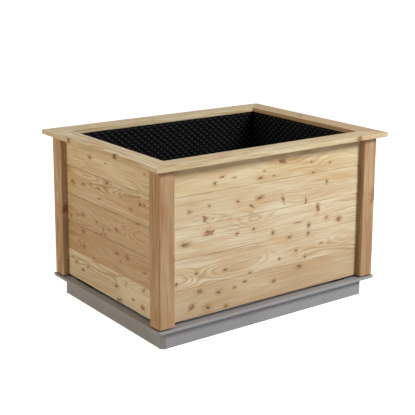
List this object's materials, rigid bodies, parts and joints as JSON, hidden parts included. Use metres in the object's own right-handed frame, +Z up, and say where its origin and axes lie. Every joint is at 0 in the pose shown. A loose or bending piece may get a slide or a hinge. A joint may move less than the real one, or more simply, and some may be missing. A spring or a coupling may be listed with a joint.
{
  "type": "raised garden bed",
  "caption": "Rectangular raised bed with tongue and groove timber walls, corner posts, a mitred cap frame, a dimpled membrane inside and a recessed folded steel base.",
  "frame": {"origin": "on the ground under the middle of the bed", "axes": "+X runs along the long walls, +Y across the bed towards its back, +Z up"},
  "size_m": [1.25, 0.95, 0.775],
  "materials": {
    "wall_boards": "planed larch, left untreated, with small brown knots",
    "corner_posts": "planed larch heartwood, redder than the boards",
    "cap_rails": "planed larch with eased edges",
    "membrane": "dimpled black high density polyethylene sheet",
    "base_steel": "folded galvanised steel sheet with a satin finish",
    "zinc_fixings": "bright zinc plated steel",
    "post_pads": "dense black rubber",
    "mesh_wire": "welded galvanised wire"
  },
  "bodies": {
    "root": {"back_base_sheet": "base_steel", "back_board_1": "wall_boards", "back_board_2": "wall_boards", "back_board_3": "wall_boards", "back_board_4": "wall_boards", "back_board_5": "wall_boards", "back_cap_rail": "cap_rails", "back_left_cap_plate": "zinc_fixings", "back_left_coach_screw": "zinc_fixings", "back_left_gusset": "base_steel", "back_left_post": "corner_posts", "back_left_post_pad": "post_pads", "back_membrane": "membrane", "back_right_cap_plate": "zinc_fixings", "back_right_coach_screw": "zinc_fixings", "back_right_gusset": "base_steel", "back_right_post": "corner_posts", "back_right_post_pad": "post_pads", "front_base_sheet": "base_steel", "front_board_1": "wall_boards", "front_board_2": "wall_boards", "front_board_3": "wall_boards", "front_board_4": "wall_boards", "front_board_5": "wall_boards", "front_cap_rail": "cap_rails", "front_left_cap_plate": "zinc_fixings", "front_left_coach_screw": "zinc_fixings", "front_left_gusset": "base_steel", "front_left_post": "corner_posts", "front_left_post_pad": "post_pads", "front_membrane": "membrane", "front_right_cap_plate": "zinc_fixings", "front_right_coach_screw": "zinc_fixings", "front_right_gusset": "base_steel", "front_right_post": "corner_posts", "front_right_post_pad": "post_pads", "left_base_sheet": "base_steel", "left_board_1": "wall_boards", "left_board_2": "wall_boards", "left_board_3": "wall_boards", "left_board_4": "wall_boards", "left_board_5": "wall_boards", "left_cap_rail": "cap_rails", "left_membrane": "membrane", "right_base_sheet": "base_steel", "right_board_1": "wall_boards", "right_board_2": "wall_boards", "right_board_3": "wall_boards", "right_board_4": "wall_boards", "right_board_5": "wall_boards", "right_cap_rail": "cap_rails", "right_membrane": "membrane", "vole_mesh": "mesh_wire"}
  },
  "joints": []
}
